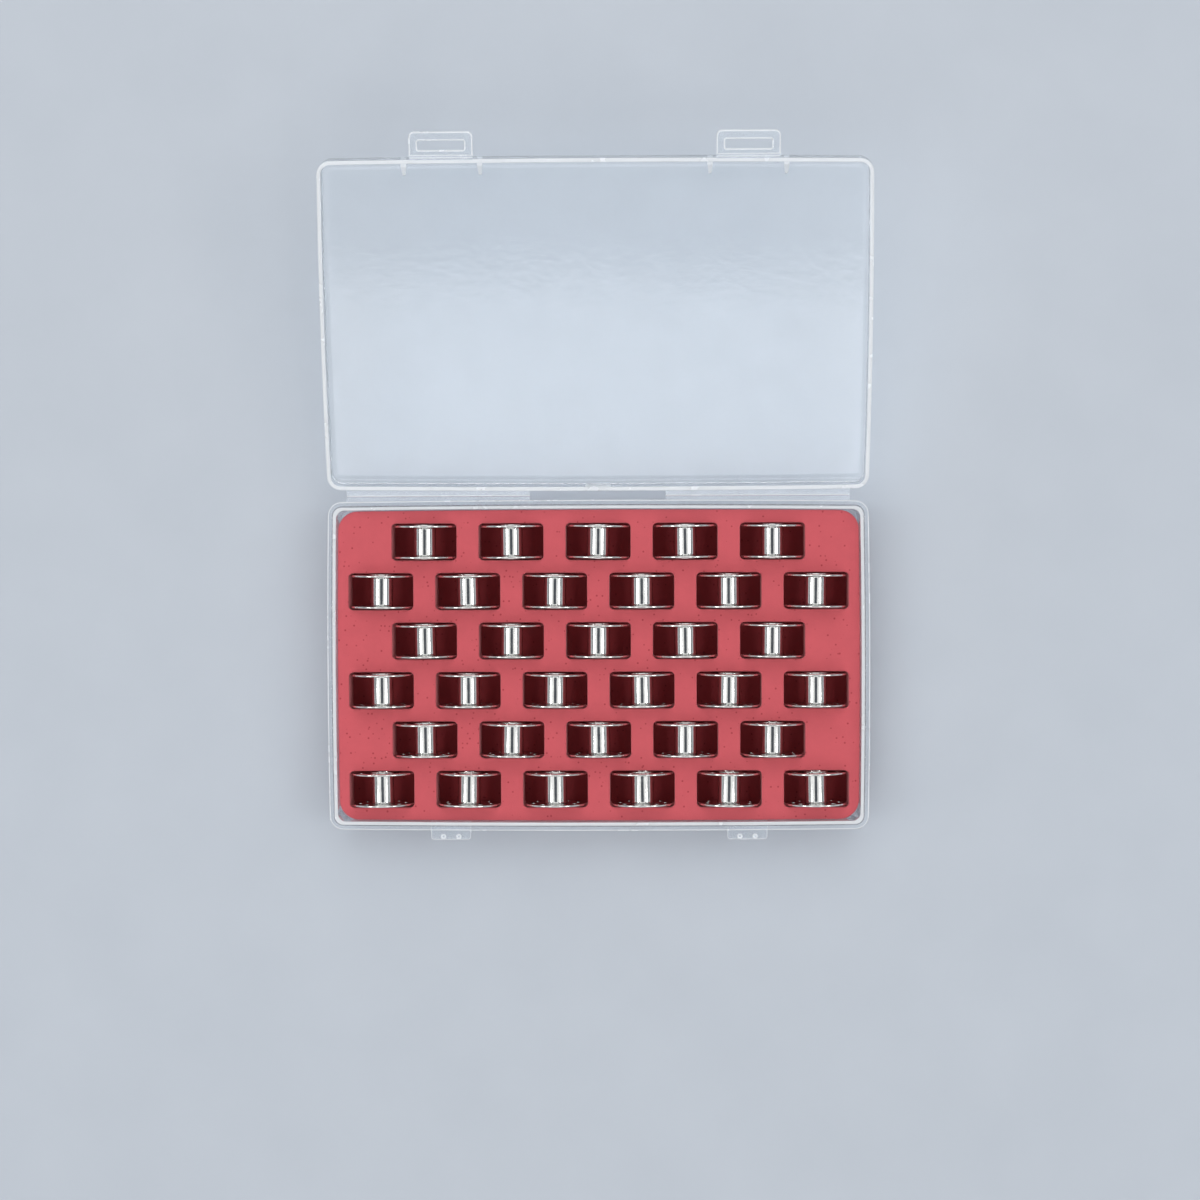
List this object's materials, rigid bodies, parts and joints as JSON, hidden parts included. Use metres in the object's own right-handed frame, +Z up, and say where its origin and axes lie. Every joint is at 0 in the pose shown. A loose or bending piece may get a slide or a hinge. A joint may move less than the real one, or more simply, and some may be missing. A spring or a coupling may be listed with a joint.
{
  "type": "bobbin box",
  "caption": "Shallow hinged plastic case with two folding latches and a foam insert that holds metal sewing bobbins on edge in staggered rows.",
  "frame": {"origin": "centre of the base's underside, without the catches and the hinge", "axes": "+Z up, +X to the right along the hinge, +Y from the front of the base towards the hinge and the open lid"},
  "size_m": [0.17, 0.2184, 0.0453],
  "materials": {
    "clear_plastic": "translucent polypropylene, slightly hazy",
    "hinge_plastic": "translucent polypropylene, whitened along the fold",
    "foam": "fine closed-cell foam, matte",
    "foam_sheet": "thin closed-cell foam sheet, matte",
    "bobbin_metal": "bright nickel plate"
  },
  "bodies": {
    "base": {"base_tray": "clear_plastic", "foam_backing": "foam_sheet", "foam_insert": "foam", "hinge_base_left": "hinge_plastic", "hinge_base_right": "hinge_plastic"},
    "lid": {"lid": "clear_plastic", "hinge_lid_left": "hinge_plastic", "hinge_lid_right": "hinge_plastic"},
    "latch_left": {"latch_left": "clear_plastic"},
    "latch_right": {"latch_right": "clear_plastic"},
    "bobbin_01": {"bobbin_01": "bobbin_metal"},
    "bobbin_02": {"bobbin_02": "bobbin_metal"},
    "bobbin_03": {"bobbin_03": "bobbin_metal"},
    "bobbin_04": {"bobbin_04": "bobbin_metal"},
    "bobbin_05": {"bobbin_05": "bobbin_metal"},
    "bobbin_06": {"bobbin_06": "bobbin_metal"},
    "bobbin_07": {"bobbin_07": "bobbin_metal"},
    "bobbin_08": {"bobbin_08": "bobbin_metal"},
    "bobbin_09": {"bobbin_09": "bobbin_metal"},
    "bobbin_10": {"bobbin_10": "bobbin_metal"},
    "bobbin_11": {"bobbin_11": "bobbin_metal"},
    "bobbin_12": {"bobbin_12": "bobbin_metal"},
    "bobbin_13": {"bobbin_13": "bobbin_metal"},
    "bobbin_14": {"bobbin_14": "bobbin_metal"},
    "bobbin_15": {"bobbin_15": "bobbin_metal"},
    "bobbin_16": {"bobbin_16": "bobbin_metal"},
    "bobbin_17": {"bobbin_17": "bobbin_metal"},
    "bobbin_18": {"bobbin_18": "bobbin_metal"},
    "bobbin_19": {"bobbin_19": "bobbin_metal"},
    "bobbin_20": {"bobbin_20": "bobbin_metal"},
    "bobbin_21": {"bobbin_21": "bobbin_metal"},
    "bobbin_22": {"bobbin_22": "bobbin_metal"},
    "bobbin_23": {"bobbin_23": "bobbin_metal"},
    "bobbin_24": {"bobbin_24": "bobbin_metal"},
    "bobbin_25": {"bobbin_25": "bobbin_metal"},
    "bobbin_26": {"bobbin_26": "bobbin_metal"},
    "bobbin_27": {"bobbin_27": "bobbin_metal"},
    "bobbin_28": {"bobbin_28": "bobbin_metal"},
    "bobbin_29": {"bobbin_29": "bobbin_metal"},
    "bobbin_30": {"bobbin_30": "bobbin_metal"},
    "bobbin_31": {"bobbin_31": "bobbin_metal"},
    "bobbin_32": {"bobbin_32": "bobbin_metal"},
    "bobbin_33": {"bobbin_33": "bobbin_metal"}
  },
  "joints": [
    {"name": "lid_hinge", "type": "hinge", "parent": "base", "child": "lid", "pos_m": [0, 0.0533, 0.017], "axis": [-1, 0, 0], "range_deg": [-165.5, 14.5]},
    {"name": "latch_left_fold", "type": "hinge", "parent": "lid", "child": "latch_left", "pos_m": [-0.0466, 0.15558, 0.04335], "axis": [-1, 0, 0], "range_deg": [-90, 15]},
    {"name": "latch_right_fold", "type": "hinge", "parent": "lid", "child": "latch_right", "pos_m": [0.0466, 0.15558, 0.04335], "axis": [-1, 0, 0], "range_deg": [-90, 15]},
    {"name": "bobbin_01_lift", "type": "slide", "parent": "base", "child": "bobbin_01", "axis": [0, 0, 1], "range_m": [0, 0.03]},
    {"name": "bobbin_02_lift", "type": "slide", "parent": "base", "child": "bobbin_02", "axis": [0, 0, 1], "range_m": [0, 0.03]},
    {"name": "bobbin_03_lift", "type": "slide", "parent": "base", "child": "bobbin_03", "axis": [0, 0, 1], "range_m": [0, 0.03]},
    {"name": "bobbin_04_lift", "type": "slide", "parent": "base", "child": "bobbin_04", "axis": [0, 0, 1], "range_m": [0, 0.03]},
    {"name": "bobbin_05_lift", "type": "slide", "parent": "base", "child": "bobbin_05", "axis": [0, 0, 1], "range_m": [0, 0.03]},
    {"name": "bobbin_06_lift", "type": "slide", "parent": "base", "child": "bobbin_06", "axis": [0, 0, 1], "range_m": [0, 0.03]},
    {"name": "bobbin_07_lift", "type": "slide", "parent": "base", "child": "bobbin_07", "axis": [0, 0, 1], "range_m": [0, 0.03]},
    {"name": "bobbin_08_lift", "type": "slide", "parent": "base", "child": "bobbin_08", "axis": [0, 0, 1], "range_m": [0, 0.03]},
    {"name": "bobbin_09_lift", "type": "slide", "parent": "base", "child": "bobbin_09", "axis": [0, 0, 1], "range_m": [0, 0.03]},
    {"name": "bobbin_10_lift", "type": "slide", "parent": "base", "child": "bobbin_10", "axis": [0, 0, 1], "range_m": [0, 0.03]},
    {"name": "bobbin_11_lift", "type": "slide", "parent": "base", "child": "bobbin_11", "axis": [0, 0, 1], "range_m": [0, 0.03]},
    {"name": "bobbin_12_lift", "type": "slide", "parent": "base", "child": "bobbin_12", "axis": [0, 0, 1], "range_m": [0, 0.03]},
    {"name": "bobbin_13_lift", "type": "slide", "parent": "base", "child": "bobbin_13", "axis": [0, 0, 1], "range_m": [0, 0.03]},
    {"name": "bobbin_14_lift", "type": "slide", "parent": "base", "child": "bobbin_14", "axis": [0, 0, 1], "range_m": [0, 0.03]},
    {"name": "bobbin_15_lift", "type": "slide", "parent": "base", "child": "bobbin_15", "axis": [0, 0, 1], "range_m": [0, 0.03]},
    {"name": "bobbin_16_lift", "type": "slide", "parent": "base", "child": "bobbin_16", "axis": [0, 0, 1], "range_m": [0, 0.03]},
    {"name": "bobbin_17_lift", "type": "slide", "parent": "base", "child": "bobbin_17", "axis": [0, 0, 1], "range_m": [0, 0.03]},
    {"name": "bobbin_18_lift", "type": "slide", "parent": "base", "child": "bobbin_18", "axis": [0, 0, 1], "range_m": [0, 0.03]},
    {"name": "bobbin_19_lift", "type": "slide", "parent": "base", "child": "bobbin_19", "axis": [0, 0, 1], "range_m": [0, 0.03]},
    {"name": "bobbin_20_lift", "type": "slide", "parent": "base", "child": "bobbin_20", "axis": [0, 0, 1], "range_m": [0, 0.03]},
    {"name": "bobbin_21_lift", "type": "slide", "parent": "base", "child": "bobbin_21", "axis": [0, 0, 1], "range_m": [0, 0.03]},
    {"name": "bobbin_22_lift", "type": "slide", "parent": "base", "child": "bobbin_22", "axis": [0, 0, 1], "range_m": [0, 0.03]},
    {"name": "bobbin_23_lift", "type": "slide", "parent": "base", "child": "bobbin_23", "axis": [0, 0, 1], "range_m": [0, 0.03]},
    {"name": "bobbin_24_lift", "type": "slide", "parent": "base", "child": "bobbin_24", "axis": [0, 0, 1], "range_m": [0, 0.03]},
    {"name": "bobbin_25_lift", "type": "slide", "parent": "base", "child": "bobbin_25", "axis": [0, 0, 1], "range_m": [0, 0.03]},
    {"name": "bobbin_26_lift", "type": "slide", "parent": "base", "child": "bobbin_26", "axis": [0, 0, 1], "range_m": [0, 0.03]},
    {"name": "bobbin_27_lift", "type": "slide", "parent": "base", "child": "bobbin_27", "axis": [0, 0, 1], "range_m": [0, 0.03]},
    {"name": "bobbin_28_lift", "type": "slide", "parent": "base", "child": "bobbin_28", "axis": [0, 0, 1], "range_m": [0, 0.03]},
    {"name": "bobbin_29_lift", "type": "slide", "parent": "base", "child": "bobbin_29", "axis": [0, 0, 1], "range_m": [0, 0.03]},
    {"name": "bobbin_30_lift", "type": "slide", "parent": "base", "child": "bobbin_30", "axis": [0, 0, 1], "range_m": [0, 0.03]},
    {"name": "bobbin_31_lift", "type": "slide", "parent": "base", "child": "bobbin_31", "axis": [0, 0, 1], "range_m": [0, 0.03]},
    {"name": "bobbin_32_lift", "type": "slide", "parent": "base", "child": "bobbin_32", "axis": [0, 0, 1], "range_m": [0, 0.03]},
    {"name": "bobbin_33_lift", "type": "slide", "parent": "base", "child": "bobbin_33", "axis": [0, 0, 1], "range_m": [0, 0.03]}
  ]
}
